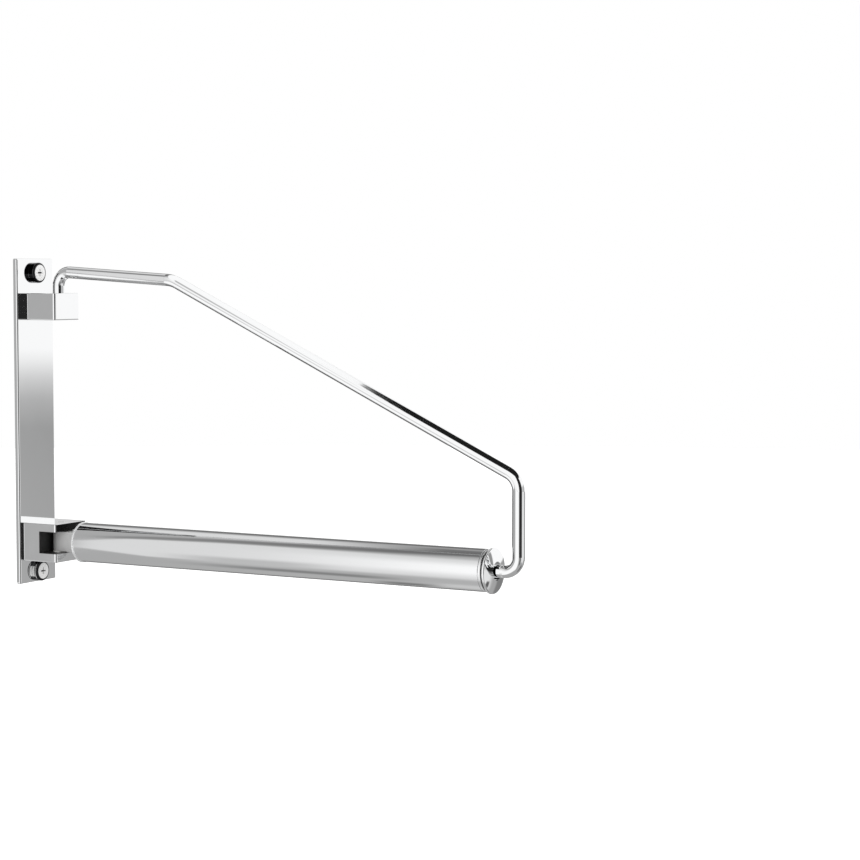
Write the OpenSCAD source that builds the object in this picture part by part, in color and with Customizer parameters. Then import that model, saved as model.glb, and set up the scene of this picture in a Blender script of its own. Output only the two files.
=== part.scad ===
// Clothes rail that swings on a wall plate.
// X points out of the wall, Z points up, and Y runs along the wall.
// The origin lies on the wall, midway between the two wall screws.

/* [Wall plate] */
// Width of the wall plate
plate_width = 36; // [34:0.5:60]
// Height of the wall plate
plate_height = 208; // [204:1:260]
// Thickness of the wall plate
plate_thickness = 3; // [2.5:0.25:6]
// Radius of the plate's four corners
plate_corner_radius = 1; // [0.5:0.25:6]
// Rounding of the rim round the plate's front face
plate_rim_radius = 1; // [0.2:0.1:1.2]
// Distance of the upper wall screw below the plate's top end
screw_top_inset = 9; // [7:0.25:14]
// Distance of the lower wall screw above the plate's bottom end
screw_bottom_inset = 7; // [6.5:0.25:8]
// Diameter of the plate's screw holes
screw_hole_diameter = 6.6; // [6.4:0.1:8]

/* [Wall screws] */
// Diameter of the screw's threaded shank
screw_diameter = 6; // [5:0.5:6.2]
// Diameter of the smooth neck where the screw goes through the plate
screw_neck_diameter = 4.6; // [3.5:0.1:5]
// Length of the screw under its head
screw_length = 16; // [10:1:60]
// Diameter of the pan head
screw_head_diameter = 13; // [10:0.5:13.5]
// Height of the pan head
screw_head_height = 4.2; // [3.5:0.1:6]
// Rounding of the pan head's edge
screw_head_rounding = 1.2; // [0.5:0.1:3]
// Width across the arms of the cross recess
recess_span = 4.6; // [4:0.2:8]
// Width of one arm of the cross recess
recess_arm_width = 1; // [0.8:0.1:2]
// Depth of the cross recess
recess_depth = 2; // [1:0.1:3]
// Chamfer on the tips of all the screws
screw_tip_chamfer = 0.8; // [0.2:0.1:1.2]

/* [Upper bracket] */
// Distance from the plate's top end down to the upper bracket's top
upper_bracket_drop = 22; // [20:1:60]
// Width of the upper bracket
upper_bracket_width = 25; // [14:0.5:30]
// Depth of the upper bracket in front of the plate
upper_bracket_depth = 25.5; // [24.5:0.5:40]
// Height of the upper bracket
upper_bracket_height = 17; // [15:0.5:19]
// Rounding of the brackets' upright front edges
bracket_edge_radius = 1.4; // [1:0.1:4]
// Rounding of the brackets' other outer edges
bracket_rim_radius = 0.6; // [0.2:0.1:1.2]

/* [Lower bracket] */
// Height of the lower bracket's underside above the plate's bottom end
lower_bracket_rise = 15; // [14:0.5:60]
// Width of the lower bracket
lower_bracket_width = 31; // [24:0.5:31]
// Depth of the lower bracket in front of the plate
lower_bracket_depth = 27; // [26:0.5:28]
// Thickness of the ear below the slot
lower_ear_thickness = 5.5; // [4:0.25:10]
// Thickness of the ear above the slot
upper_ear_thickness = 5; // [4:0.25:10]
// Height of the slot that runs round the front and the sides
slot_height = 14; // [11:0.5:20]

/* [Bracket screws] */
// Diameter of the countersunk bracket screws
bracket_screw_diameter = 4; // [3:0.5:5]
// Length of a bracket screw with its head
bracket_screw_length = 11.5; // [8:0.5:12]
// Diameter of the countersunk head
bracket_screw_head = 8; // [6:0.25:8.5]
// Width across the flats of the hexagon socket
bracket_screw_socket = 2.5; // [1.5:0.1:3]
// Depth of the hexagon socket
bracket_socket_depth = 1.8; // [1:0.1:2.5]
// Distance between the upper bracket's two screws
upper_pair_spacing = 9; // [8.8:0.1:10.5]
// Distance between the lower bracket's two screws
lower_pair_spacing = 16; // [10:0.5:20]

/* [Hinge] */
// Distance of the hinge axis from the plate's front face
hinge_reach = 19; // [18.5:0.25:19.5]
// Diameter of the hinge pin
pin_diameter = 6; // [4:0.25:6.5]
// Chamfer on both ends of the hinge pin
pin_chamfer = 0.5; // [0.1:0.1:1]
// Outer diameter of the bush in the tongue
tongue_bush_diameter = 7.6; // [7.2:0.1:8]
// Width of the tongue, and the diameter of its round eye
tongue_width = 10; // [9:0.25:10.5]
// Height of the tongue
tongue_height = 13; // [9:0.25:13.2]
// Rounding of the tongue's long edges
tongue_rounding = 0.5; // [0.2:0.1:1]
// Gap between the tongue's eye and the back of the slot
slot_back_gap = 0.5; // [0.3:0.1:2]
// Outer diameter of the two hinge washers
hinge_washer_diameter = 10.4; // [9:0.1:10.8]
// Play between the tongue and each hinge washer
hinge_play = 0.05; // [0.02:0.01:0.3]
// Radial clearance of the pin and of the rod in their bushes
running_clearance = 0.05; // [0.01:0.01:0.1]
// Wall of the sleeve that the rod turns in
rod_bush_wall = 0.7; // [0.5:0.1:1.2]

/* [Rail tube] */
// Outer diameter of the tube
tube_diameter = 25; // [22:0.5:26]
// Wall of the tube
tube_wall = 1.5; // [0.8:0.1:3]
// Length of the tube
tube_length = 290; // [200:1:500]
// Distance from the hinge axis to the plug's outer face
plug_reach = 17.7; // [17.2:0.1:30]

/* [Tube ends] */
// How far the plug's flange stands out past the tube
plug_flange_step = 0.5; // [0:0.1:1]
// Thickness of the plug's flange
plug_flange_thickness = 1.5; // [1:0.1:4]
// Width of the cap's collar, which meets the tube
cap_collar_width = 2; // [1:0.1:4]
// Width of the groove between the collar and the dome
cap_groove_width = 1.3; // [0.5:0.1:3]
// Depth of that groove below the tube's outside
cap_groove_depth = 1.3; // [0.5:0.1:2]
// How far the dome stands out past the tube
cap_step = 1; // [0:0.1:1.2]
// Thickness of the dome at its rim, where the crown would meet the outside
cap_dome_thickness = 1.4; // [1.2:0.1:5]
// Rounding of the dome's edge towards the tube
cap_back_rounding = 0.4; // [0.2:0.1:0.5]
// Rounding of the dome's outer edge
cap_edge_radius = 0.8; // [0.4:0.1:1]
// Height of the dome's middle over its rim
cap_crown = 2.3; // [1:0.1:4]
// Diameter of the recess round the rod
cap_recess_diameter = 11; // [9.5:0.25:12]
// Depth of the recess round the rod
cap_recess_depth = 2.2; // [1:0.1:4]
// How deep the plug and the cap reach into the tube
spigot_length = 13; // [10:0.5:30]
// Wall of the plug and the cap inside the tube
spigot_wall = 2.2; // [1:0.1:3]
// Thickness of the plug's floor inside the tube
plug_floor = 3; // [2:0.25:6]
// Rounding of the flange's rim and of the spigots' ends
small_rounding = 0.5; // [0.1:0.1:0.6]

/* [Support rod] */
// Diameter of the bent rod
rod_diameter = 7.5; // [6:0.25:8]
// Gap between the rod's lower end and the upper bracket's underside
rod_end_gap = 1; // [0:0.25:4]
// Height of the rod's first corner above the upper bracket
rod_rise = 13.8; // [11:0.1:30]
// Reach of the rod's knee from the hinge axis
knee_reach = 89; // [60:1:140]
// How far the rod drops between the first corner and the knee
knee_drop = 5.5; // [0:0.1:12]
// Gap between the rod's outer leg and the cap's face, from centre line to face
leg_gap = 13.4; // [11:0.1:40]
// Height of the corner at the outer leg's top above the tube's centre line
leg_height = 54; // [30:1:90]
// Centre-line radius of the first bend
first_bend_radius = 8.5; // [7:0.25:10]
// Centre-line radius of the bend at the knee
knee_bend_radius = 22; // [10:0.5:40]
// Centre-line radius of the bend at the top of the outer leg
leg_bend_radius = 11.5; // [8:0.25:20]
// Centre-line radius of the last bend, before the cap
last_bend_radius = 9; // [7:0.25:10.5]
// How much thinner the rod is in its bends, where cold bending draws it out
bend_thinning = 0.05; // [0.03:0.01:0.2]

/* [Nuts and washers] */
// Diameter of the threaded ends of the rod and the tongue
stud_diameter = 6; // [4:0.5:6.5]
// Width of the nuts across their flats
nut_width = 10; // [8:0.25:11]
// Thickness of the nuts
nut_thickness = 5; // [3:0.25:6]
// Outer diameter of the washers under the nuts
nut_washer_diameter = 12; // [10:0.25:14]
// Thickness of the washers under the nuts
nut_washer_thickness = 1.6; // [0.8:0.1:2.5]
// How far the threaded ends stand out of their nuts
stud_overhang = 1.4; // [0:0.1:4]

/* [Hidden] */
$fn = 96;

// How far every cutting body runs past the face that it cuts
overrun = 1;

// Places on the wall plate
screw_spacing = plate_height - screw_top_inset - screw_bottom_inset;
upper_screw_z = screw_spacing / 2;
lower_screw_z = -screw_spacing / 2;
plate_top_z = upper_screw_z + screw_top_inset;
plate_bottom_z = lower_screw_z - screw_bottom_inset;
plate_middle_z = (plate_top_z + plate_bottom_z) / 2;

// The brackets, the slot and the hinge axis
upper_bracket_z = plate_top_z - upper_bracket_drop - upper_bracket_height;
upper_bracket_middle_z = upper_bracket_z + upper_bracket_height / 2;
lower_bracket_z = plate_bottom_z + lower_bracket_rise;
lower_bracket_height = lower_ear_thickness + slot_height + upper_ear_thickness;
slot_z = lower_bracket_z + lower_ear_thickness;
axis_z = slot_z + slot_height / 2;
hinge_x = plate_thickness + hinge_reach;
slot_back_x = hinge_x - tongue_width / 2 - slot_back_gap;
hinge_washer_thickness = (slot_height - tongue_height) / 2 - hinge_play;
rod_bush_bore = rod_diameter + 2 * running_clearance;
rod_bush_diameter = rod_bush_bore + 2 * rod_bush_wall;

// Places along the tube
plug_face_x = hinge_x + plug_reach;
tube_start_x = plug_face_x + plug_flange_thickness;
tube_end_x = tube_start_x + tube_length;
cap_face_x = tube_end_x + cap_collar_width + cap_groove_width + cap_dome_thickness + cap_crown;
recess_floor_x = cap_face_x - cap_recess_depth;
tube_bore = tube_diameter - 2 * tube_wall;
cap_floor = recess_floor_x - tube_end_x;
leg_x = cap_face_x + leg_gap;

// How far the drawn-out metal of a bend reaches into the straights beside it
bend_grip = 0.3;

// Rounded rectangle, its corners true arcs
module rounded_outline(width, height, radius) {
    square([width, height - 2 * radius], center = true);
    square([width - 2 * radius, height], center = true);
    for (side_x = [-1, 1], side_y = [-1, 1])
        translate([side_x * (width / 2 - radius), side_y * (height / 2 - radius)])
            circle(r = radius);
}

// Outline that starts on the line x = 0 and has its two far corners rounded
module front_rounded(depth, breadth, radius) {
    translate([0, -breadth / 2])
        square([depth - radius, breadth]);
    translate([0, radius - breadth / 2])
        square([depth, breadth - 2 * radius]);
    for (side = [-1, 1])
        translate([depth - radius, side * (breadth / 2 - radius)])
            circle(r = radius);
}

// Cylinder that starts at a given x and runs outwards from the wall
module x_cylinder(start_x, length, diameter) {
    translate([start_x, 0, 0])
        rotate([0, 90, 0])
            cylinder(h = length, d = diameter);
}

// Turns a profile drawn as (radius, distance) about the X direction
module x_turned() {
    rotate([0, 90, 0])
        rotate_extrude()
            children();
}

// Flat ring standing on z = 0
module ring(outer_diameter, bore, thickness) {
    difference() {
        cylinder(h = thickness, d = outer_diameter);
        translate([0, 0, -overrun])
            cylinder(h = thickness + 2 * overrun, d = bore);
    }
}

// Hexagon nut standing on z = 0
module hex_nut(width, bore, thickness) {
    difference() {
        cylinder(h = thickness, d = width / cos(30), $fn = 6);
        translate([0, 0, -overrun])
            cylinder(h = thickness + 2 * overrun, d = bore);
    }
}

// What rounding takes off a square corner that points up and to the right
module corner_waste(rounding) {
    difference() {
        square([rounding + overrun, rounding + overrun]);
        circle(r = rounding);
    }
}

// Half profile of a disc standing on the line y = 0, with its near and its far edge rounded
module disc_profile(radius, thickness, near_rounding, far_rounding) {
    difference() {
        square([radius, thickness]);
        translate([radius - far_rounding, thickness - far_rounding])
            corner_waste(far_rounding);
        if (near_rounding > 0)
            translate([radius - near_rounding, near_rounding])
                mirror([0, 1])
                    corner_waste(near_rounding);
    }
}

// Pan-head screw whose head sits on the plate and whose shank points into the wall
module wall_screw() {
    shank_radius = screw_diameter / 2;
    difference() {
        translate([plate_thickness, 0, 0]) {
            x_turned()
                disc_profile(screw_head_diameter / 2, screw_head_height, 0, screw_head_rounding);
            x_turned()
                polygon([
                    [0, screw_head_height / 2],
                    [screw_neck_diameter / 2, screw_head_height / 2],
                    [screw_neck_diameter / 2, -plate_thickness],
                    [shank_radius, -plate_thickness],
                    [shank_radius, screw_tip_chamfer - screw_length],
                    [shank_radius - screw_tip_chamfer, -screw_length],
                    [0, -screw_length]
                ]);
        }
        translate([plate_thickness + screw_head_height - recess_depth, 0, 0])
            for (turn = [0, 90])
                rotate([turn, 0, 0])
                    translate([0, -recess_span / 2, -recess_arm_width / 2])
                        cube([recess_depth + overrun, recess_span, recess_arm_width]);
    }
}

// Block standing on z = 0 against the plate, its upright front edges and its outer rims rounded
module bracket_block(depth, width, height) {
    intersection() {
        linear_extrude(height)
            front_rounded(depth, width, bracket_edge_radius);
        rotate([90, 0, 0])
            linear_extrude(width, center = true)
                translate([0, height / 2])
                    front_rounded(depth, height, bracket_rim_radius);
        rotate([90, 0, 90])
            linear_extrude(depth)
                translate([0, height / 2])
                    rounded_outline(width, height, bracket_rim_radius);
    }
}

// Countersunk screw with its head flush with the plate's back, pointing away from the wall
module bracket_screw() {
    head_radius = bracket_screw_head / 2;
    shank_radius = bracket_screw_diameter / 2;
    difference() {
        x_turned()
            polygon([
                [0, 0],
                [head_radius, 0],
                [shank_radius, head_radius - shank_radius],
                [shank_radius, bracket_screw_length - screw_tip_chamfer],
                [shank_radius - screw_tip_chamfer, bracket_screw_length],
                [0, bracket_screw_length]
            ]);
        translate([-overrun, 0, 0])
            rotate([0, 90, 0])
                cylinder(h = bracket_socket_depth + overrun, d = bracket_screw_socket / cos(30), $fn = 6);
    }
}

// The room that a bracket screw takes up in the plate and the bracket
module bracket_screw_hole() {
    head_radius = bracket_screw_head / 2;
    shank_radius = bracket_screw_diameter / 2;
    x_turned()
        polygon([
            [0, -overrun],
            [head_radius, -overrun],
            [head_radius, 0],
            [shank_radius, head_radius - shank_radius],
            [shank_radius, bracket_screw_length],
            [0, bracket_screw_length]
        ]);
}

// Places its child at both screws of the upper bracket
module at_upper_pair() {
    for (side = [-1, 1])
        translate([0, 0, upper_bracket_middle_z + side * upper_pair_spacing / 2])
            children();
}

// Places its child at both screws of the lower bracket
module at_lower_pair() {
    for (side = [-1, 1])
        translate([0, side * lower_pair_spacing / 2, axis_z])
            children();
}

// Direction, in degrees, from one corner of the rod to the next
function heading(from, to) = atan2(to[1] - from[1], to[0] - from[0]);

// How far a bend turns, positive to the left
function bend_turn(before, here, after) =
    let (coming = here - before, going = after - here)
        atan2(coming[0] * going[1] - coming[1] * going[0], coming * going);

// Distance from a corner to where its bend starts
function bend_setback(corners, radii, index) =
    index == 0 || index == len(corners) - 1
        ? 0
        : radii[index] * tan(abs(bend_turn(corners[index - 1], corners[index], corners[index + 1])) / 2);

// Round rod through corners given as (x, z), with a true arc, a hair thinner, at each inner corner
module bent_rod(corners, radii, diameter) {
    for (index = [0 : len(corners) - 2]) {
        way = heading(corners[index], corners[index + 1]);
        start = bend_setback(corners, radii, index);
        stop = bend_setback(corners, radii, index + 1);
        span = norm(corners[index + 1] - corners[index]) - start - stop;
        translate([corners[index][0] + start * cos(way), 0, corners[index][1] + start * sin(way)])
            rotate([0, 90 - way, 0])
                cylinder(h = span, d = diameter);
    }
    for (index = [1 : len(corners) - 2]) {
        way = heading(corners[index - 1], corners[index]);
        turn = bend_turn(corners[index - 1], corners[index], corners[index + 1]);
        side = sign(turn);
        setback = bend_setback(corners, radii, index);
        centre_x = corners[index][0] - setback * cos(way) - side * radii[index] * sin(way);
        centre_z = corners[index][1] - setback * sin(way) + side * radii[index] * cos(way);
        first = side > 0 ? way - 90 : way + 90 + turn;
        grip = bend_grip / radii[index] * 180 / PI;
        translate([centre_x, 0, centre_z])
            rotate([90, 0, 0])
                rotate([0, 0, first - grip])
                    rotate_extrude(angle = abs(turn) + 2 * grip)
                        translate([radii[index], 0])
                            circle(d = diameter - bend_thinning);
    }
}

// Wall plate with its two screw holes and the countersinks in its back
module wall_plate() {
    color("gainsboro")
        difference() {
            intersection() {
                rotate([90, 0, 90])
                    linear_extrude(plate_thickness)
                        translate([0, plate_middle_z])
                            rounded_outline(plate_width, plate_height, plate_corner_radius);
                translate([0, 0, plate_bottom_z])
                    linear_extrude(plate_height)
                        front_rounded(plate_thickness, plate_width, plate_rim_radius);
                rotate([90, 0, 0])
                    linear_extrude(plate_width, center = true)
                        translate([0, plate_middle_z])
                            front_rounded(plate_thickness, plate_height, plate_rim_radius);
            }
            for (z = [upper_screw_z, lower_screw_z])
                translate([0, 0, z])
                    x_cylinder(-overrun, plate_thickness + 2 * overrun, screw_hole_diameter);
            at_upper_pair()
                bracket_screw_hole();
            at_lower_pair()
                bracket_screw_hole();
        }
}

module upper_wall_screw() {
    color("silver")
        translate([0, 0, upper_screw_z])
            wall_screw();
}

module lower_wall_screw() {
    color("silver")
        translate([0, 0, lower_screw_z])
            wall_screw();
}

// Block that holds the rod's turned-down end
module upper_bracket() {
    color("gainsboro")
        difference() {
            translate([plate_thickness, 0, upper_bracket_z])
                bracket_block(upper_bracket_depth, upper_bracket_width, upper_bracket_height);
            translate([hinge_x, 0, upper_bracket_z - overrun])
                cylinder(h = upper_bracket_height + 2 * overrun, d = rod_bush_diameter);
            at_upper_pair()
                bracket_screw_hole();
        }
}

module upper_bracket_screws() {
    color("silver")
        at_upper_pair()
            bracket_screw();
}

// Sleeve that the rod turns in
module rod_bush() {
    color("white")
        translate([hinge_x, 0, upper_bracket_z])
            ring(rod_bush_diameter, rod_bush_bore, upper_bracket_height);
}

// Block with two ears, whose slot runs round its front and both its sides
module lower_bracket() {
    color("gainsboro")
        difference() {
            translate([plate_thickness, 0, lower_bracket_z])
                bracket_block(lower_bracket_depth, lower_bracket_width, lower_bracket_height);
            translate([slot_back_x, -lower_bracket_width / 2 - overrun, slot_z])
                cube([lower_bracket_depth, lower_bracket_width + 2 * overrun, slot_height]);
            translate([hinge_x, 0, lower_bracket_z - overrun])
                cylinder(h = lower_bracket_height + 2 * overrun, d = pin_diameter);
            at_lower_pair()
                bracket_screw_hole();
        }
}

module lower_bracket_screws() {
    color("silver")
        at_lower_pair()
            bracket_screw();
}

// Pin held in both ears
module hinge_pin() {
    pin_radius = pin_diameter / 2;
    color("silver")
        translate([hinge_x, 0, lower_bracket_z])
            rotate_extrude()
                polygon([
                    [0, 0],
                    [pin_radius - pin_chamfer, 0],
                    [pin_radius, pin_chamfer],
                    [pin_radius, lower_bracket_height - pin_chamfer],
                    [pin_radius - pin_chamfer, lower_bracket_height],
                    [0, lower_bracket_height]
                ]);
}

module upper_hinge_washer() {
    color("white")
        translate([hinge_x, 0, slot_z + slot_height - hinge_washer_thickness])
            ring(hinge_washer_diameter, pin_diameter, hinge_washer_thickness);
}

module lower_hinge_washer() {
    color("white")
        translate([hinge_x, 0, slot_z])
            ring(hinge_washer_diameter, pin_diameter, hinge_washer_thickness);
}

// Tongue with a round eye on the pin and a threaded end in the plug
module hinge_tongue() {
    stud_length = plug_flange_thickness + plug_floor + nut_washer_thickness + nut_thickness + stud_overhang;
    color("lightgrey")
        difference() {
            union() {
                translate([hinge_x, 0, axis_z])
                    rotate_extrude()
                        intersection() {
                            rounded_outline(tongue_width, tongue_height, tongue_rounding);
                            translate([0, -tongue_height / 2])
                                square([tongue_width, tongue_height]);
                        }
                translate([hinge_x, 0, axis_z])
                    rotate([90, 0, 90])
                        linear_extrude(plug_reach)
                            rounded_outline(tongue_width, tongue_height, tongue_rounding);
                translate([0, 0, axis_z])
                    x_cylinder(plug_face_x, stud_length, stud_diameter);
            }
            translate([hinge_x, 0, axis_z - tongue_height / 2 - overrun])
                cylinder(h = tongue_height + 2 * overrun, d = tongue_bush_diameter);
        }
}

module tongue_bush() {
    color("white")
        translate([hinge_x, 0, axis_z - tongue_height / 2])
            ring(tongue_bush_diameter, pin_diameter + 2 * running_clearance, tongue_height);
}

module tongue_washer() {
    color("silver")
        translate([tube_start_x + plug_floor, 0, axis_z])
            rotate([0, 90, 0])
                ring(nut_washer_diameter, stud_diameter, nut_washer_thickness);
}

module tongue_nut() {
    color("silver")
        translate([tube_start_x + plug_floor + nut_washer_thickness, 0, axis_z])
            rotate([0, 90, 0])
                hex_nut(nut_width, stud_diameter, nut_thickness);
}

// Half profile of a cup inside the tube: its floor, when it has one, and its wall
module spigot_profile(floor_thickness) {
    difference() {
        disc_profile(tube_bore / 2, spigot_length, 0, small_rounding);
        translate([0, floor_thickness])
            square([tube_bore / 2 - spigot_wall, spigot_length]);
    }
}

// Flanged plug in the tube's inner end
module tube_plug() {
    color("gainsboro")
        translate([plug_face_x, 0, axis_z])
            x_turned()
                difference() {
                    union() {
                        disc_profile(
                            tube_diameter / 2 + plug_flange_step, plug_flange_thickness,
                            small_rounding, small_rounding
                        );
                        translate([0, plug_flange_thickness])
                            spigot_profile(plug_floor);
                    }
                    translate([0, -overrun])
                        square([stud_diameter / 2, plug_flange_thickness + spigot_length]);
                }
}

module rail_tube() {
    color("gainsboro")
        translate([0, 0, axis_z])
            difference() {
                x_cylinder(tube_start_x, tube_length, tube_diameter);
                x_cylinder(tube_start_x - overrun, tube_length + 2 * overrun, tube_bore);
            }
}

// Half profile of the cap's dome, starting on the line y = 0: a crowned disc with a rounded rim
module cap_dome_profile() {
    radius = tube_diameter / 2 + cap_step;
    crown_radius = (pow(radius, 2) + pow(cap_crown, 2)) / (2 * cap_crown);
    crown_middle = cap_dome_thickness + cap_crown - crown_radius;
    inner_radius = crown_radius - cap_edge_radius;
    edge_middle = crown_middle + sqrt(pow(inner_radius, 2) - pow(radius - cap_edge_radius, 2));
    meeting_radius = (radius - cap_edge_radius) * crown_radius / inner_radius;
    intersection() {
        union() {
            disc_profile(radius, edge_middle + cap_edge_radius, cap_back_rounding, cap_edge_radius);
            square([meeting_radius, cap_dome_thickness + cap_crown]);
        }
        translate([0, crown_middle])
            circle(r = crown_radius);
    }
}

// Cap on the tube's outer end: a collar, a groove and a dome with a recess for the rod
module outer_cap() {
    dome_start = cap_collar_width + cap_groove_width;
    color("gainsboro")
        translate([tube_end_x, 0, axis_z])
            x_turned()
                difference() {
                    union() {
                        disc_profile(tube_diameter / 2, cap_collar_width, small_rounding, small_rounding);
                        square([tube_diameter / 2 - cap_groove_depth, dome_start]);
                        translate([0, dome_start])
                            cap_dome_profile();
                        mirror([0, 1])
                            spigot_profile(0);
                    }
                    square([stud_diameter / 2, cap_face_x - tube_end_x]);
                    translate([0, cap_floor])
                        square([cap_recess_diameter / 2, cap_recess_depth + overrun]);
                }
}

// One bent rod, from the upper bracket's sleeve to the cap's recess
module support_rod() {
    first_z = upper_bracket_z + upper_bracket_height + rod_rise;
    corners = [
        [hinge_x, upper_bracket_z + rod_end_gap],
        [hinge_x, first_z],
        [hinge_x + knee_reach, first_z - knee_drop],
        [leg_x, axis_z + leg_height],
        [leg_x, axis_z],
        [recess_floor_x, axis_z]
    ];
    radii = [0, first_bend_radius, knee_bend_radius, leg_bend_radius, last_bend_radius, 0];
    stud_length = cap_floor + nut_washer_thickness + nut_thickness + stud_overhang;
    color("gainsboro") {
        bent_rod(corners, radii, rod_diameter);
        translate([0, 0, axis_z])
            x_cylinder(recess_floor_x - stud_length, stud_length, stud_diameter);
    }
}

module rod_washer() {
    color("silver")
        translate([tube_end_x - nut_washer_thickness, 0, axis_z])
            rotate([0, 90, 0])
                ring(nut_washer_diameter, stud_diameter, nut_washer_thickness);
}

module rod_nut() {
    color("silver")
        translate([tube_end_x - nut_washer_thickness - nut_thickness, 0, axis_z])
            rotate([0, 90, 0])
                hex_nut(nut_width, stud_diameter, nut_thickness);
}

wall_plate();
upper_wall_screw();
lower_wall_screw();
upper_bracket();
upper_bracket_screws();
rod_bush();
lower_bracket();
lower_bracket_screws();
hinge_pin();
upper_hinge_washer();
lower_hinge_washer();
hinge_tongue();
tongue_bush();
tongue_washer();
tongue_nut();
tube_plug();
rail_tube();
outer_cap();
support_rod();
rod_washer();
rod_nut();
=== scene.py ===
"""Wall-mounted clothes rail: camera, studio, floor, lamps and finishes round the CAD model.

Lengths are in metres. The wall plate stands on the YZ plane at X = 0, X points away from the wall
and Z is up. All the shapes are the CAD model's own, so this script adds no piece to them.
"""

import math
from collections import namedtuple

import bmesh
import bpy
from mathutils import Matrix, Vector


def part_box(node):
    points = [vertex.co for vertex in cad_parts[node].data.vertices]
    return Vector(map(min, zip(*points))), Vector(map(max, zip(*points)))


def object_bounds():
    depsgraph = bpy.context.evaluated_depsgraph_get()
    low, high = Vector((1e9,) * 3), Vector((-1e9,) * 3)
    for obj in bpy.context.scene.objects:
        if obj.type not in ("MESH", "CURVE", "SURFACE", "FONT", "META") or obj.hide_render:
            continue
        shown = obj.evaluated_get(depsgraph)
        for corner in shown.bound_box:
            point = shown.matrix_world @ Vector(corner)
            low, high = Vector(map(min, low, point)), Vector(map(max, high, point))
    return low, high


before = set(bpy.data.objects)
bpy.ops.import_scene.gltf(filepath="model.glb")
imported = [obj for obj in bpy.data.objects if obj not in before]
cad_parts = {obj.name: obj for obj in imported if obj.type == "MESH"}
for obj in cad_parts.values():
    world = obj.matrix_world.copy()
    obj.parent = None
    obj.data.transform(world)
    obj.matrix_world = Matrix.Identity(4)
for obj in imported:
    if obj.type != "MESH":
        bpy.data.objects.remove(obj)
cad_low, cad_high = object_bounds()

MM = 0.001


# Camera, fitted to the outline of the left unit in the photograph
CAMERA_PLACE = (948.85 * MM, -1168.90 * MM, 94.34 * MM)
CAMERA_YAW = math.radians(29.2788)
CAMERA_PITCH = math.radians(-3.8366)
CAMERA_RANGE = (0.01, 200.0)
FOCAL_PIXELS = 2305.73
IMAGE_PIXELS = 860.0
SENSOR_WIDTH = 36.0


def make_camera():
    data = bpy.data.cameras.new("camera")
    data.sensor_fit = "HORIZONTAL"
    data.sensor_width = SENSOR_WIDTH
    data.lens = FOCAL_PIXELS / IMAGE_PIXELS * SENSOR_WIDTH
    data.clip_start, data.clip_end = CAMERA_RANGE
    camera = bpy.data.objects.new("camera", data)
    camera.location = CAMERA_PLACE
    camera.rotation_euler = (math.pi / 2 + CAMERA_PITCH, 0.0, CAMERA_YAW)
    bpy.context.scene.collection.objects.link(camera)
    bpy.context.scene.camera = camera


make_camera()
bpy.context.scene.view_settings.view_transform = "Standard"


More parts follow.
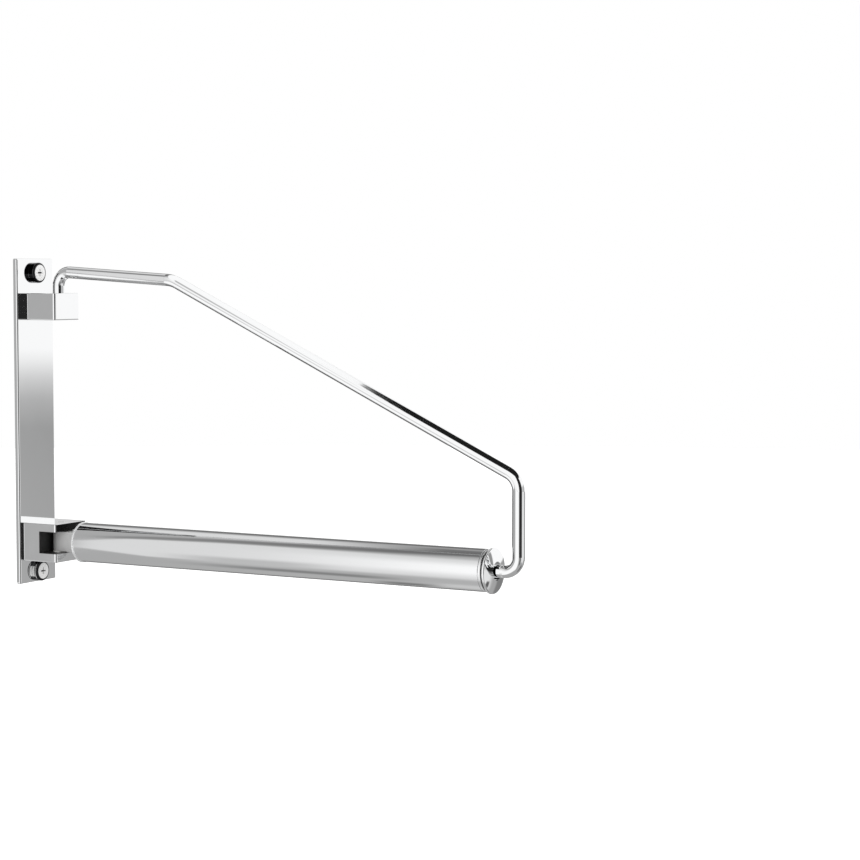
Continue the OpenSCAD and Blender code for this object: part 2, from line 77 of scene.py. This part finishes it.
# Node trees
class Tree:
    """Short calls for building one node tree. A value is a number, a tuple or another socket."""

    # The Mix node's sockets for numbers and for colours: its two inputs and its output
    NUMBER_SOCKETS = (2, 3, 0)
    COLOUR_SOCKETS = (6, 7, 2)

    def __init__(self, owner, empty=True):
        """Open the tree of a world or a material, and empty it first unless told not to."""
        owner.use_nodes = True
        self.nodes, self.links = owner.node_tree.nodes, owner.node_tree.links
        if empty:
            self.nodes.clear()

    def put(self, socket, value):
        if isinstance(value, bpy.types.NodeSocket):
            self.links.new(value, socket)
        else:
            socket.default_value = value

    def node(self, kind, **inputs):
        """A new node with values on its named inputs, where _ stands for a space."""
        made = self.nodes.new(kind)
        for name, value in inputs.items():
            self.put(made.inputs[name.replace("_", " ")], value)
        return made

    def fill(self, made, *values):
        """Put values on a node's first inputs, and give its first output."""
        for socket, value in zip(made.inputs, values):
            self.put(socket, value)
        return made.outputs[0]

    def math(self, what, *values):
        made = self.nodes.new("ShaderNodeMath")
        made.operation = what
        return self.fill(made, *values)

    def add(self, a, b):
        return self.math("ADD", a, b)

    def product(self, *values):
        made = values[0]
        for value in values[1:]:
            made = self.math("MULTIPLY", made, value)
        return made

    def linear(self, value, start, end, low, high):
        """A straight ramp of value, low before start and high after end."""
        return self.fill(self.nodes.new("ShaderNodeMapRange"), value, start, end, low, high)

    def step(self, value, start, end, low=0.0, high=1.0):
        """A smooth step of value, low before start and high after end."""
        made = self.nodes.new("ShaderNodeMapRange")
        made.interpolation_type = "SMOOTHSTEP"
        return self.fill(made, value, start, end, low, high)

    def window(self, value, corners):
        """0 before the first corner and after the last, 1 from the second to the third."""
        rise_start, rise_end, fall_start, fall_end = corners
        rise = self.step(value, rise_start, rise_end)
        return self.product(rise, self.step(value, fall_start, fall_end, 1.0, 0.0))

    def between(self, value, start, end, soft):
        """1 from start to end, with both edges blurred by soft to either side."""
        return self.window(value, (start - soft, start + soft, end - soft, end + soft))

    def wrap(self, angle):
        """An angle in degrees, brought between -180 and 180."""
        return self.math("WRAP", angle, 180.0, -180.0)

    def near(self, angle, middle, inner, outer):
        """1 within inner of the middle, smoothly to 0 at outer, also over the half turn."""
        off = self.math("ABSOLUTE", self.wrap(self.math("SUBTRACT", angle, middle)))
        return self.step(off, inner, outer, 1.0, 0.0)

    def profile(self, value, stops):
        """Straight pieces through the stops, each a place and a level."""
        total = stops[0][1]
        for (start, low), (end, high) in zip(stops, stops[1:]):
            total = self.add(self.linear(value, start, end, 0.0, high - low), total)
        return total

    def split(self, vector):
        return self.node("ShaderNodeSeparateXYZ", Vector=vector).outputs

    def mix(self, kind, sockets, share, a, b):
        """The value a where share is 0, and the value b where it is 1."""
        made = self.nodes.new("ShaderNodeMix")
        made.data_type = kind
        first, second, result = sockets
        self.put(made.inputs[0], share)
        self.put(made.inputs[first], a)
        self.put(made.inputs[second], b)
        return made.outputs[result]

    def blend(self, share, a, b):
        """The number a where share is 0, and the number b where it is 1."""
        return self.mix("FLOAT", self.NUMBER_SOCKETS, share, a, b)

    def blend_colours(self, share, a, b):
        return self.mix("RGBA", self.COLOUR_SOCKETS, share, a, (*b, 1.0))

    def ramp(self, value, *stops):
        """A colour that changes evenly with value between two stops, each a place and a colour."""
        made = self.nodes.new("ShaderNodeValToRGB")
        for element, (place, colour) in zip(made.color_ramp.elements, stops):
            element.position = place
            element.color = (*colour, 1.0)
        return self.fill(made, value)

    def noise(self, place, scale, detail, roughness=0.5):
        made = self.node("ShaderNodeTexNoise", Vector=place, Scale=scale, Detail=detail,
                         Roughness=roughness)
        return made.outputs["Fac"]


# Studio: what bright metal mirrors, by the direction in which a ray leaves it. Azimuth 0 is
# straight away from the wall, and azimuth -90 is along the wall on the camera's side. The light is
# scaled by PAPER_TO_WHITE at the end, so that PAPER comes out as white.
PAPER = 1.04
PAPER_TO_WHITE = 0.96

# The light from the ground up to the room's pale walls: a height in degrees, and the light there
HORIZON = ((-8.0, 0.39), (-5.0, 0.36), (-3.7, 0.34), (-3.0, 0.45), (-2.5, 0.66), (-2.1, 0.9),
           (-1.8, 1.03))

# A panel has the light that it gives and its windows of azimuth and height, in degrees. It fades
# in over a window's first two numbers and out over the last two. A panel with near_wall also fades
# out as X of the direction rises from the first of those numbers to the second. Each panel is laid
# over those before it.
Panel = namedtuple("Panel", "light azimuth height near_wall", defaults=(None,))

GROUND_PANELS = (
    # bright paper in front and to the left
    Panel(PAPER, (-168, -152, -68, -52), (-54, -42, -5, 1)),
    # duller paper away from the wall, and a grey strip that stands on it
    Panel(0.82, (-19, -3, 37, 53), (-31, -21, -2, 2)),
    Panel(0.58, (-12, 0, 36, 48), (-5, -1, 8, 16)),
)
SIDE_PANELS = (
    # low on the wall's side: bright paper on the camera's side and a dark card on the far side
    Panel(PAPER, (-176, -166, -124, -114), (-46, -38, -11, -8), near_wall=(-0.632, -0.614)),
    Panel(0.18, (141, 151, 173, 183), (-56, -48, -34.5, -31.5), near_wall=(-0.66, -0.63)),
    # pale strip on the far side, just above the horizon
    Panel(0.66, (114, 122, 134, 142), (-4, 0, 11, 19)),
    # narrow grey seam on the left
    Panel(0.5, (-117, -113, -111, -107), (18, 30, 45, 55)),
    # small grey and dark cards on the right, which the domed cap shows
    Panel(0.30, (31, 37, 47.4, 49.8), (-2, 0, 10, 16)),
    Panel(0.12, (32.5, 35.5, 40.5, 43.5), (-25, -21, -18, -15)),
    Panel(0.22, (61, 69, 88, 96), (-28, -22, -11, -5)),
)
DARK_PANELS = (
    # flag on the right, high above the horizon
    Panel(0.03, (44, 60, 92, 108), (41, 45, 48, 56)),
    # dark wall on the camera's side, and a less dark card below it
    Panel(0.02, (-56.6, -53.4, -7, -1), (-14, -8, 43, 49)),
    Panel(0.12, (-47, -39, -26, -18), (-40, -32, -11, -5)),
    # card on the ground, away from the wall
    Panel(0.15, (6, 18, 42, 58), (-68, -60, -39, -33)),
)

# The wall's side is one tall panel, which the tube mirrors. Its lights and seams run along the
# tube, so they are placed by X of the direction and by the turn round the tube, in degrees: 0 is
# the camera's side, 90 up and 180 the far side. The tube's inner and outer end mirror the two
# values of TUBE_REACH. A pair of lights or of turns belongs to these ends and changes evenly from
# the one to the other. The panel fades out over the two values of WALL_PANEL_END.
TUBE_REACH = (-0.61, -0.47)
WALL_PANEL_END = (-0.458, -0.42)
WALL_LIGHT = (0.42, 0.46)

# Pale light in front. It fades in over the X of FRONT_START and lies between two edges. An edge
# runs through pairs of X and turn, and is blurred before and after that turn. Over the X of
# HIGH_EDGE_LEVELS_OUT the high edge goes over to HIGH_EDGE_LEVEL.
FRONT_LIGHT = 0.74
FRONT_START = (-0.619, -0.607)
LOW_EDGE = ((-0.613, -24), (-0.588, -51))
HIGH_EDGE = ((-0.613, 14), (-0.595, 47))
HIGH_EDGE_LEVEL = 60
HIGH_EDGE_LEVELS_OUT = (-0.60, -0.55)
LOW_EDGE_BEFORE, LOW_EDGE_AFTER = (-5, -12), (5, 12)
HIGH_EDGE_BEFORE, HIGH_EDGE_AFTER = (-4, -12), (4, 8)

# The front light's bright core: its middle, and how far to either side it is whole and has faded
CORE_MIDDLE, CORE_WHOLE, CORE_FADED = (5, 3), (10, 8), (44, 50)
CORE_START = (-0.57, -0.46)

# Pale strip overhead, which darkens towards the outer end, and the dark seam in front of it
OVERHEAD_LIGHT = (0.74, 0.18)
OVERHEAD_DARKENS = (-0.53, -0.48)
OVERHEAD_MIDDLE, OVERHEAD_WHOLE, OVERHEAD_FADED = 110, 8, 28
SEAM_LIGHT = (0.27, 0.15)
SEAM_COURSE = ((-0.604, 45), (-0.588, 60), (-0.565, 71), (-0.53, 77), (-0.50, 82), (-0.47, 93))
SEAM_WHOLE, SEAM_FADED = (1, 5), (12, 26)
SEAM_START = (-0.612, -0.596)

# Strips that keep their turn: the light, the middle, how far to either side the strip is whole
# and has faded, and its window of X. X runs from -1 to 1, so a window that starts at -2 is open
# towards the wall, and one that ends at 2 is open away from it.
Strip = namedtuple("Strip", "light middle whole faded window")

STRIPS = (
    # shade below the front light, and two dark seams and a grey one below that
    Strip(0.53, -42, 8, 30, (-0.59, -0.56, -0.545, -0.51)),
    Strip(0.24, -80, 2, 18, (-0.585, -0.54, -0.515, -0.485)),
    Strip(0.2, -118, 4, 22, (-0.51, -0.495, -0.49, -0.478)),
    Strip(0.6, -104, 4, 26, (-0.485, -0.475, 1, 2)),
    # dark far side, which is darker and wider straight towards the wall
    Strip(0.10, 180, 24, 56, (-2, -1, 1, 2)),
    Strip(0.04, 180, 44, 84, (-2, -1, -0.66, -0.63)),
)

# The ceiling: where the white and the black part fade in, in X and in height
WHITE_CEILING_X = (-0.34, -0.28)
WHITE_CEILING_HEIGHT = (54, 62)
BLACK_CEILING_X = (-0.0235, -0.0175)
BLACK_CEILING_HEIGHT = (39.5, 44.5)
BLACK_CEILING_LEAN = 0.25
BLACK_CEILING = 0.012

Way = namedtuple("Way", "x z azimuth height turn")


def read_way(t, direction):
    """What the panels go by: a direction's X and Z, and its angles in degrees."""
    x, y, z = t.split(direction)
    to_degrees = 180 / math.pi
    azimuth = t.product(t.math("ARCTAN2", y, x), to_degrees)
    height = t.product(t.math("ARCSINE", z), to_degrees)
    turn = t.product(t.math("ARCTAN2", z, t.product(y, -1.0)), to_degrees)
    return Way(x, z, azimuth, height, turn)


def lay_panels(t, look, way, panels):
    """The look with the panels laid over it, one after another."""
    for panel in panels:
        # measured from the panel's middle, because a window may run over the half turn
        middle = (panel.azimuth[0] + panel.azimuth[-1]) / 2
        off = t.wrap(t.math("SUBTRACT", way.azimuth, middle))
        share = t.product(t.window(off, [corner - middle for corner in panel.azimuth]),
                          t.window(way.height, panel.height))
        if panel.near_wall:
            share = t.product(share, t.step(way.x, *panel.near_wall, 1.0, 0.0))
        look = t.blend(share, look, panel.light)
    return look


def wall_panel(t, way):
    """The tall panel on the wall's side, with lights and seams that run along the tube."""

    def along(pair):
        """A value that changes evenly from the tube's inner end to its outer end."""
        return t.linear(way.x, *TUBE_REACH, *pair)

    low_edge = t.profile(way.x, LOW_EDGE)
    high_edge = t.blend(t.step(way.x, *HIGH_EDGE_LEVELS_OUT), t.profile(way.x, HIGH_EDGE),
                        HIGH_EDGE_LEVEL)
    over_low = t.step(way.turn, t.add(low_edge, along(LOW_EDGE_BEFORE)),
                      t.add(low_edge, along(LOW_EDGE_AFTER)))
    under_high = t.step(way.turn, t.add(high_edge, along(HIGH_EDGE_BEFORE)),
                        t.add(high_edge, along(HIGH_EDGE_AFTER)), 1.0, 0.0)
    front = t.product(over_low, under_high, t.step(way.x, *FRONT_START))
    panel = t.blend(front, along(WALL_LIGHT), FRONT_LIGHT)

    core = t.near(way.turn, along(CORE_MIDDLE), along(CORE_WHOLE), along(CORE_FADED))
    panel = t.blend(t.product(core, t.step(way.x, *CORE_START)), panel, PAPER)

    overhead = t.near(way.turn, OVERHEAD_MIDDLE, OVERHEAD_WHOLE, OVERHEAD_FADED)
    panel = t.blend(overhead, panel, t.linear(way.x, *OVERHEAD_DARKENS, *OVERHEAD_LIGHT))
    seam = t.near(way.turn, t.profile(way.x, SEAM_COURSE), along(SEAM_WHOLE), along(SEAM_FADED))
    panel = t.blend(t.product(seam, t.step(way.x, *SEAM_START)), panel, along(SEAM_LIGHT))

    for strip in STRIPS:
        share = t.near(way.turn, strip.middle, strip.whole, strip.faded)
        panel = t.blend(t.product(share, t.window(way.x, strip.window)), panel, strip.light)
    return panel


def lay_ceiling(t, look, way):
    """White near the wall and black away from it. Lower down the black reaches nearer the wall."""
    white = t.product(t.step(way.height, *WHITE_CEILING_HEIGHT), t.step(way.x, *WHITE_CEILING_X))
    look = t.blend(white, look, PAPER)
    flat = t.math("SUBTRACT", 1.0, t.product(way.z, way.z))
    leaning_x = t.add(way.x, t.product(flat, BLACK_CEILING_LEAN))
    black = t.product(t.step(leaning_x, *BLACK_CEILING_X),
                      t.step(way.height, *BLACK_CEILING_HEIGHT))
    return t.blend(black, look, BLACK_CEILING)


def studio_look(t, direction):
    """The light that bright metal sees: a pale room with a few soft dark panels."""
    way = read_way(t, direction)
    look = t.profile(way.height, HORIZON)
    look = lay_panels(t, look, way, GROUND_PANELS)
    look = t.blend(t.step(way.x, *WALL_PANEL_END, 1.0, 0.0), look, wall_panel(t, way))
    look = lay_panels(t, look, way, SIDE_PANELS)
    look = lay_ceiling(t, look, way)
    look = lay_panels(t, look, way, DARK_PANELS)
    return t.product(look, PAPER_TO_WHITE)


# World
WHITE = (1.0, 1.0, 1.0, 1.0)
ROOM_LIGHT = 0.8
CAMERA_WHITE = 1.0


def make_world():
    """White for the camera, the studio for metal, and an even pale light for the rest."""
    world = bpy.data.worlds.new("studio")
    bpy.context.scene.world = world
    t = Tree(world)
    look = studio_look(t, t.node("ShaderNodeTexCoord").outputs["Generated"])
    ray = t.node("ShaderNodeLightPath").outputs
    mirrored = t.math("MAXIMUM", ray["Is Glossy Ray"], ray["Is Transmission Ray"])
    strength = t.blend(mirrored, ROOM_LIGHT, look)
    strength = t.blend(ray["Is Camera Ray"], strength, CAMERA_WHITE)
    light = t.node("ShaderNodeBackground", Color=WHITE, Strength=strength)
    t.node("ShaderNodeOutputWorld", Surface=light.outputs[0])


make_world()


# Floor
FLOOR_DROP = 357 * MM
FLOOR_RADIUS = 6.0
FLOOR_SEGMENTS = 96
FLOOR_GREYS = (0.79, 0.81)
FLOOR_GRAIN_SCALE = 1.4
FLOOR_ROUGHNESS = 0.6
FLOOR_GLOW = 0.62


def floor_paper():
    """Pale paper with a faint grain and with a glow for the camera alone, which keeps shadows."""
    mat = bpy.data.materials.new("floor_paper")
    t = Tree(mat)
    place = t.node("ShaderNodeTexCoord").outputs["Object"]
    dull, pale = ((grey, grey, grey) for grey in FLOOR_GREYS)
    grain = t.noise(place, scale=FLOOR_GRAIN_SCALE, detail=3.0)
    tone = t.ramp(grain, (0.3, dull), (0.7, pale))
    paper = t.node("ShaderNodeBsdfDiffuse", Color=tone, Roughness=FLOOR_ROUGHNESS)
    seen = t.node("ShaderNodeLightPath").outputs["Is Camera Ray"]
    glow = t.node("ShaderNodeEmission", Color=WHITE, Strength=t.product(seen, FLOOR_GLOW))
    both = t.fill(t.nodes.new("ShaderNodeAddShader"), paper.outputs[0], glow.outputs[0])
    t.node("ShaderNodeOutputMaterial", Surface=both)
    return mat


def make_floor():
    """A round floor below the unit. Metal mirrors the studio's own ground instead of it."""
    shape = bmesh.new()
    bmesh.ops.create_circle(shape, cap_ends=True, radius=FLOOR_RADIUS, segments=FLOOR_SEGMENTS)
    mesh = bpy.data.meshes.new("floor")
    shape.to_mesh(mesh)
    shape.free()
    mesh.materials.append(floor_paper())
    floor = bpy.data.objects.new("floor", mesh)
    floor.location = (0.0, 0.0, cad_low[2] - FLOOR_DROP)
    floor.visible_glossy = False
    floor.visible_transmission = False
    bpy.context.scene.collection.objects.link(floor)


make_floor()


# Lamps
LAMP_AIM = (0.15, 0.0, 0.0)


def area_lamp(name, place, size, power):
    """A soft lamp that shines at the arm and that neither metal nor the camera sees."""
    data = bpy.data.lights.new(name, "AREA")
    data.shape = "RECTANGLE"
    data.size, data.size_y = size
    data.energy = power
    lamp = bpy.data.objects.new(name, data)
    lamp.location = place
    aim = Vector(LAMP_AIM) - Vector(place)
    lamp.rotation_euler = aim.to_track_quat("-Z", "Y").to_euler()
    lamp.visible_glossy = False
    lamp.visible_camera = False
    bpy.context.scene.collection.objects.link(lamp)


area_lamp("key", place=(1.1, -1.1, 1.1), size=(1.2, 0.9), power=9.0)
area_lamp("fill", place=(1.1, 1.2, 0.5), size=(1.0, 1.0), power=4.0)


# Materials. Noise scales are per metre, and a stretch below 1 draws the pattern out along an axis.
# gloss is the roughness where the noise is low and where it is high. A dull share is the share of
# the tint that is left where the noise is low.
EVEN = (1.0, 1.0, 1.0)
CHROME_TINT = (0.968, 0.973, 0.978)
BRIGHT_NICKEL_TINT = (0.968, 0.968, 0.962)
NICKEL_TINT = (0.90, 0.895, 0.88)
CHROME_DULL_SHARE = 0.985
SATIN_DULL_SHARE = 0.96
NYLON_SHADE = (0.74, 0.735, 0.71)
NYLON_TINT = (0.80, 0.795, 0.775)
NYLON_GLOSS = (0.38, 0.5)
HAZE_SCALE = 55.0
MOTTLE_SCALE = 240.0
SKIN_SCALE = 1400.0
WAVE_DEPTH = 0.6 * MM
GRAIN_DEPTH = 0.2 * MM
SKIN_DEPTH = 0.1 * MM


def new_material(name, metallic):
    """A new material with its tree, its shader and the place on the part's surface."""
    mat = bpy.data.materials.new(name)
    t = Tree(mat)
    shader = t.node("ShaderNodeBsdfPrincipled", Metallic=metallic)
    t.node("ShaderNodeOutputMaterial", Surface=shader.outputs[0])
    return mat, t, shader, t.node("ShaderNodeTexCoord").outputs["Object"]


def reopen(mat):
    """The tree, the shader and the place on the surface of a material that is already made."""
    t = Tree(mat, empty=False)
    shader = next(node for node in t.nodes if node.type == "BSDF_PRINCIPLED")
    return t, shader, t.node("ShaderNodeTexCoord").outputs["Object"]


def present(shader, name):
    """What is linked to the shader's input now."""
    return shader.inputs[name].links[0].from_socket


def dress(t, shader, colour, roughness, relief, strength, depth):
    """Give the shader its colour, its roughness and the relief of its surface."""
    t.put(shader.inputs["Base Color"], colour)
    t.put(shader.inputs["Roughness"], roughness)
    bump = t.node("ShaderNodeBump", Height=relief, Strength=strength, Distance=depth)
    t.put(shader.inputs["Normal"], bump.outputs[0])


def shaded(colour, share):
    return tuple(channel * share for channel in colour)


def stretched(t, place, stretch):
    return t.node("ShaderNodeMapping", Vector=place, Scale=stretch).outputs[0]


def chrome(name, tint=CHROME_TINT, stretch=EVEN, gloss=(0.03, 0.06), wave=0.05, wave_scale=60.0):
    """Bright plating on polished steel: faint waves in the plating and a little haze."""
    mat, t, shader, place = new_material(name, metallic=1.0)
    place = stretched(t, place, stretch)
    haze = t.noise(place, scale=HAZE_SCALE, detail=5.0, roughness=0.6)
    colour = t.ramp(haze, (0.25, shaded(tint, CHROME_DULL_SHARE)), (0.8, tint))
    waves = t.noise(place, scale=wave_scale, detail=1.5, roughness=0.4)
    dress(t, shader, colour, t.step(haze, 0.3, 0.75, *gloss), waves, wave, WAVE_DEPTH)
    return mat


def satin(name, tint, gloss, grain, grain_scale, stretch=EVEN, metallic=1.0):
    """Drawn or plated metal with a fine grain."""
    mat, t, shader, place = new_material(name, metallic)
    fine = t.noise(stretched(t, place, stretch), scale=grain_scale, detail=6.0, roughness=0.65)
    colour = t.ramp(fine, (0.25, shaded(tint, SATIN_DULL_SHARE)), (0.75, tint))
    dress(t, shader, colour, t.step(fine, 0.25, 0.8, *gloss), fine, grain, GRAIN_DEPTH)
    return mat


def nylon(name, relief=0.12):
    """White moulded nylon: slight mottling, soft sheen and a fine moulded skin."""
    mat, t, shader, place = new_material(name, metallic=0.0)
    mottle = t.noise(place, scale=MOTTLE_SCALE, detail=4.0)
    colour = t.ramp(mottle, (0.3, NYLON_SHADE), (0.7, NYLON_TINT))
    skin = t.noise(place, scale=SKIN_SCALE, detail=2.0)
    dress(t, shader, colour, t.step(mottle, 0.3, 0.7, *NYLON_GLOSS), skin, relief, SKIN_DEPTH)
    return mat


# Painted shade: dark zones worked out from the CAD nodes. A zone's edges are blurred by ZONE_EDGE.
# It reaches a little into the walls that it darkens, and keeps a margin from what stays bright.
ZONE_EDGE = 0.04 * MM
SLOT_BACK_GAP = 0.5 * MM
SLOT_END_REACH = 0.1 * MM
SLOT_WALL_REACH = 0.02 * MM
EAR_FRONT_DEPTH = 0.15 * MM
EAR_FRONT_REACH = 0.2 * MM
EAR_SIDE_MARGIN = 0.4 * MM
EAR_TOP_MARGIN = 0.1 * MM
CAP_COLLAR_WIDTH = 2.0 * MM
CAP_GROOVE_WIDTH = 1.32 * MM
CAP_REACH = 1.0 * MM


def paint_shade_in_box(mat, low, high, grey, roughness):
    """Paint shade: darken the surface between the two corners of a box."""
    t, shader, place = reopen(mat)
    inside = t.product(*(t.between(value, start, end, ZONE_EDGE)
                         for value, start, end in zip(t.split(place), low, high)))
    colour = t.blend_colours(inside, present(shader, "Base Color"), (grey, grey, grey))
    t.put(shader.inputs["Base Color"], colour)
    t.put(shader.inputs["Roughness"], t.blend(inside, present(shader, "Roughness"), roughness))


def chrome_with_painted_slot_shade():
    """Chrome on the lower bracket, with painted shade in its slot and on the front of the ear
    above the slot.
    """
    mat = chrome("chrome_on_slotted_block_painted_shade")
    low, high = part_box("lower_bracket")
    slot_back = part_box("hinge_tongue")[0].x - SLOT_BACK_GAP
    slot_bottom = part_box("lower_hinge_washer")[0].z
    slot_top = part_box("upper_hinge_washer")[1].z
    # painted shade on the front of the ear above the slot
    paint_shade_in_box(
        mat,
        (high.x - EAR_FRONT_DEPTH, low.y + EAR_SIDE_MARGIN, slot_top - EAR_FRONT_REACH),
        (high.x + EAR_FRONT_REACH, high.y - EAR_SIDE_MARGIN, high.z - EAR_TOP_MARGIN),
        grey=0.02, roughness=0.2)
    # painted shade inside the slot
    paint_shade_in_box(
        mat,
        (slot_back - SLOT_END_REACH, low.y + ZONE_EDGE, slot_bottom - SLOT_WALL_REACH),
        (high.x + SLOT_END_REACH, high.y - ZONE_EDGE, slot_top + SLOT_WALL_REACH),
        grey=0.08, roughness=0.45)
    return mat


def chrome_with_painted_groove_shade():
    """Chrome on the outer cap, with painted shade in the groove between its collar and its dome.
    """
    mat = chrome("chrome_on_cap_painted_shade")
    low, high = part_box("outer_cap")
    groove_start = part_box("rail_tube")[1].x + CAP_COLLAR_WIDTH
    # painted shade in the groove between the collar and the dome
    paint_shade_in_box(
        mat,
        (groove_start, low.y - CAP_REACH, low.z - CAP_REACH),
        (groove_start + CAP_GROOVE_WIDTH, high.y + CAP_REACH, high.z + CAP_REACH),
        grey=0.26, roughness=0.3)
    return mat


# Wall screws, with painted reflections. The black of a head is a painted dark reflection, and it
# fades in over HEAD_START in front of the plate. The face lies in front of the head's rounding and
# inside its rim, and it stays pale as a painted highlight. A band on the head's side stays pale
# too,
# as a painted highlight: where it starts and ends in front of the plate, and how far it reaches
# above and below the screw's axis.
HEAD_START = (0.02 * MM, 0.06 * MM)
HEAD_ROUNDING = 1.2 * MM
FACE_RIM = 1.4 * MM
FACE_EDGE = 0.1 * MM
BAND_END_EDGE = 0.3 * MM
# painted dark reflection on the screw heads
PAINTED_DARK_REFLECTION = (0.04, 0.04, 0.042)
# the pale face and bands are painted highlights, with little metal and more roughness
PAINTED_HIGHLIGHT_METALLIC = 0.1
PAINTED_HIGHLIGHT_ROUGHNESS = 0.35
# painted highlight bands on the lower screw's head
LOWER_SCREW_HIGHLIGHT_BANDS = (
    (0.1 * MM, 1.8 * MM, 3.3 * MM),
    (2.3 * MM, 2.75 * MM, 4.6 * MM),
)


def nickel_with_painted_reflections(name, screw, bands=()):
    """Nickel on a wall screw, with a painted dark reflection on its head, and painted highlights
    on its face and the bands.
    """
    mat = chrome(name, BRIGHT_NICKEL_TINT, gloss=(0.04, 0.07), wave_scale=120.0)
    low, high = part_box(screw)
    plate_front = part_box("wall_plate")[1].x
    face_radius = high.y - FACE_RIM
    t, shader, place = reopen(mat)
    x, y, z = t.split(place)
    off = t.math("SUBTRACT", z, (low.z + high.z) / 2)
    away = t.math("SQRT", t.add(t.product(y, y), t.product(off, off)))
    head = t.step(x, *(plate_front + start for start in HEAD_START))
    face_start = high.x - HEAD_ROUNDING
    pale = t.product(
        t.step(x, face_start - FACE_EDGE, face_start + FACE_EDGE),
        t.step(away, face_radius - FACE_EDGE, face_radius + FACE_EDGE, 1.0, 0.0))
    for start, end, reach in bands:
        band = t.between(x, plate_front + start, plate_front + end, FACE_EDGE)
        beside_axis = t.step(t.math("ABSOLUTE", off), reach - BAND_END_EDGE,
                             reach + BAND_END_EDGE, 1.0, 0.0)
        pale = t.math("MAXIMUM", pale, t.product(band, beside_axis))
    # painted dark reflection on the head, and painted highlights on the face and bands
    black = t.math("SUBTRACT", head, pale)
    colour = t.blend_colours(black, present(shader, "Base Color"), PAINTED_DARK_REFLECTION)
    t.put(shader.inputs["Base Color"], colour)
    t.put(shader.inputs["Metallic"], t.blend(pale, 1.0, PAINTED_HIGHLIGHT_METALLIC))
    roughness = t.blend(pale, present(shader, "Roughness"), PAINTED_HIGHLIGHT_ROUGHNESS)
    t.put(shader.inputs["Roughness"], roughness)
    return mat


# Finishes
CHROME_BLOCK = chrome("chrome_on_blocks")
CHROME_ROD = chrome("chrome_on_rod")
CHROME_PLATE = chrome("chrome_on_plate", stretch=(1.0, 1.0, 0.6), gloss=(0.02, 0.045),
                      wave=0.03, wave_scale=18.0)
CHROME_TUBE = chrome("chrome_on_tube", stretch=(0.25, 1.0, 1.0), gloss=(0.03, 0.055),
                     wave=0.035, wave_scale=40.0)
NICKEL_PIN = chrome("nickel_on_screws", NICKEL_TINT, gloss=(0.05, 0.09), wave=0.06,
                    wave_scale=120.0)
SATIN_STEEL = satin("satin_steel", (0.66, 0.66, 0.655), gloss=(0.36, 0.46), grain=0.03,
                    grain_scale=900.0, stretch=(0.1, 1.0, 1.0), metallic=0.4)
SATIN_CHROME = satin("satin_chrome", (0.95, 0.955, 0.96), gloss=(0.22, 0.3), grain=0.02,
                     grain_scale=700.0, metallic=0.5)
ZINC_STEEL = satin("zinc_steel", (0.72, 0.735, 0.75), gloss=(0.24, 0.4), grain=0.3,
                   grain_scale=500.0)
WHITE_NYLON = nylon("white_nylon")

FINISH = {
    "wall_plate": CHROME_PLATE,
    # wall screws with painted dark reflections and painted highlights
    "upper_wall_screw": nickel_with_painted_reflections("nickel_on_upper_screw_painted_reflections", "upper_wall_screw"),
    "lower_wall_screw": nickel_with_painted_reflections("nickel_on_lower_screw_painted_reflections", "lower_wall_screw",
                                            LOWER_SCREW_HIGHLIGHT_BANDS),
    "upper_bracket": CHROME_BLOCK,
    # lower bracket with painted shade in its slot and on its ear
    "lower_bracket": chrome_with_painted_slot_shade(),
    "upper_bracket_screws": ZINC_STEEL,
    "lower_bracket_screws": ZINC_STEEL,
    "rod_bush": WHITE_NYLON,
    "hinge_pin": NICKEL_PIN,
    "upper_hinge_washer": WHITE_NYLON,
    "lower_hinge_washer": WHITE_NYLON,
    "hinge_tongue": SATIN_STEEL,
    "tongue_bush": WHITE_NYLON,
    "tongue_washer": ZINC_STEEL,
    "tongue_nut": ZINC_STEEL,
    "tube_plug": SATIN_CHROME,
    "rail_tube": CHROME_TUBE,
    # outer cap with painted shade in its groove
    "outer_cap": chrome_with_painted_groove_shade(),
    "support_rod": CHROME_ROD,
    "rod_washer": ZINC_STEEL,
    "rod_nut": ZINC_STEEL,
}
for name, finish in FINISH.items():
    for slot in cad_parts[name].material_slots:
        slot.material = finish
